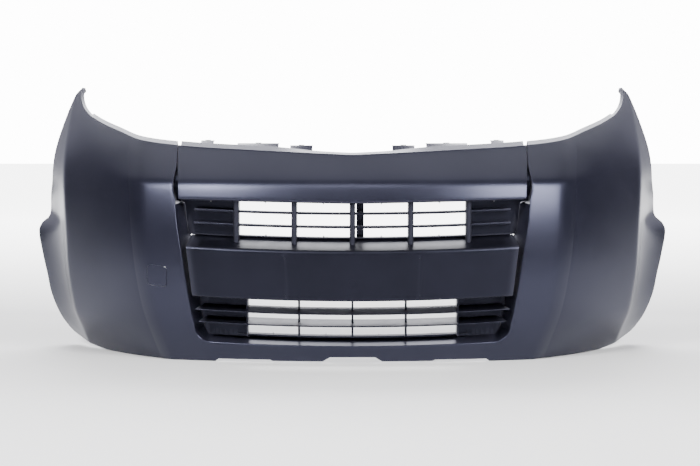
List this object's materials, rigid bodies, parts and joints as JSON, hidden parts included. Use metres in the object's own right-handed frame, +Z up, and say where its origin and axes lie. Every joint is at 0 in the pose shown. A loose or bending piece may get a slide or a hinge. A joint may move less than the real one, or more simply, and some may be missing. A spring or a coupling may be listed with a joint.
{
  "type": "bumper cover",
  "caption": "Front bumper cover of a small van: wrap-round side covers with lower lip, nose panel, slatted grilles, number-plate panel and towing-eye cap.",
  "frame": {"origin": "middle of the part's overall box, on the plane that it stands on", "axes": "+X to the vehicle's left, the picture's right; +Y rearwards; +Z up"},
  "size_m": [1.6826, 0.599, 0.687],
  "materials": {
    "satin_cover": "satin black moulded plastic, smooth, ready for paint",
    "grained_black": "black moulded plastic, fine grain",
    "zinc_steel": "zinc-plated"
  },
  "bodies": {
    "cover": {"centre_strut": "grained_black", "lip_screw_1": "zinc_steel", "lip_screw_2": "zinc_steel", "lip_screw_3": "zinc_steel", "lip_screw_4": "zinc_steel", "lower_grille": "grained_black", "nose_panel": "satin_cover", "nose_screw_1": "zinc_steel", "nose_screw_2": "zinc_steel", "nose_screw_3": "zinc_steel", "nose_screw_4": "zinc_steel", "nose_screw_5": "zinc_steel", "nose_screw_6": "zinc_steel", "number_plate_panel": "grained_black", "outer_cover": "satin_cover", "plate_panel_lower_screw_1": "zinc_steel", "plate_panel_lower_screw_2": "zinc_steel", "plate_panel_lower_screw_3": "zinc_steel", "plate_panel_lower_screw_4": "zinc_steel", "plate_panel_upper_screw_1": "zinc_steel", "plate_panel_upper_screw_2": "zinc_steel", "plate_panel_upper_screw_3": "zinc_steel", "plate_panel_upper_screw_4": "zinc_steel", "seam_screw_1": "zinc_steel", "seam_screw_2": "zinc_steel", "seam_screw_3": "zinc_steel", "seam_screw_4": "zinc_steel", "spring_nut_left_1": "zinc_steel", "spring_nut_left_2": "zinc_steel", "spring_nut_left_3": "zinc_steel", "spring_nut_right_1": "zinc_steel", "spring_nut_right_2": "zinc_steel", "spring_nut_right_3": "zinc_steel", "strut_screw_1": "zinc_steel", "strut_screw_2": "zinc_steel", "upper_grille": "grained_black", "wing_bracket_left": "grained_black", "wing_bracket_right": "grained_black", "wing_bracket_screw_1": "zinc_steel", "wing_bracket_screw_2": "zinc_steel", "wing_bracket_screw_3": "zinc_steel", "wing_bracket_screw_4": "zinc_steel"},
    "towing_eye_cover": {"tow_eye_cap": "satin_cover"}
  },
  "joints": [
    {"name": "tow_eye_cap_pull", "type": "slide", "parent": "cover", "child": "towing_eye_cover", "axis": [0, -1, 0], "range_m": [0, 0.04]}
  ]
}
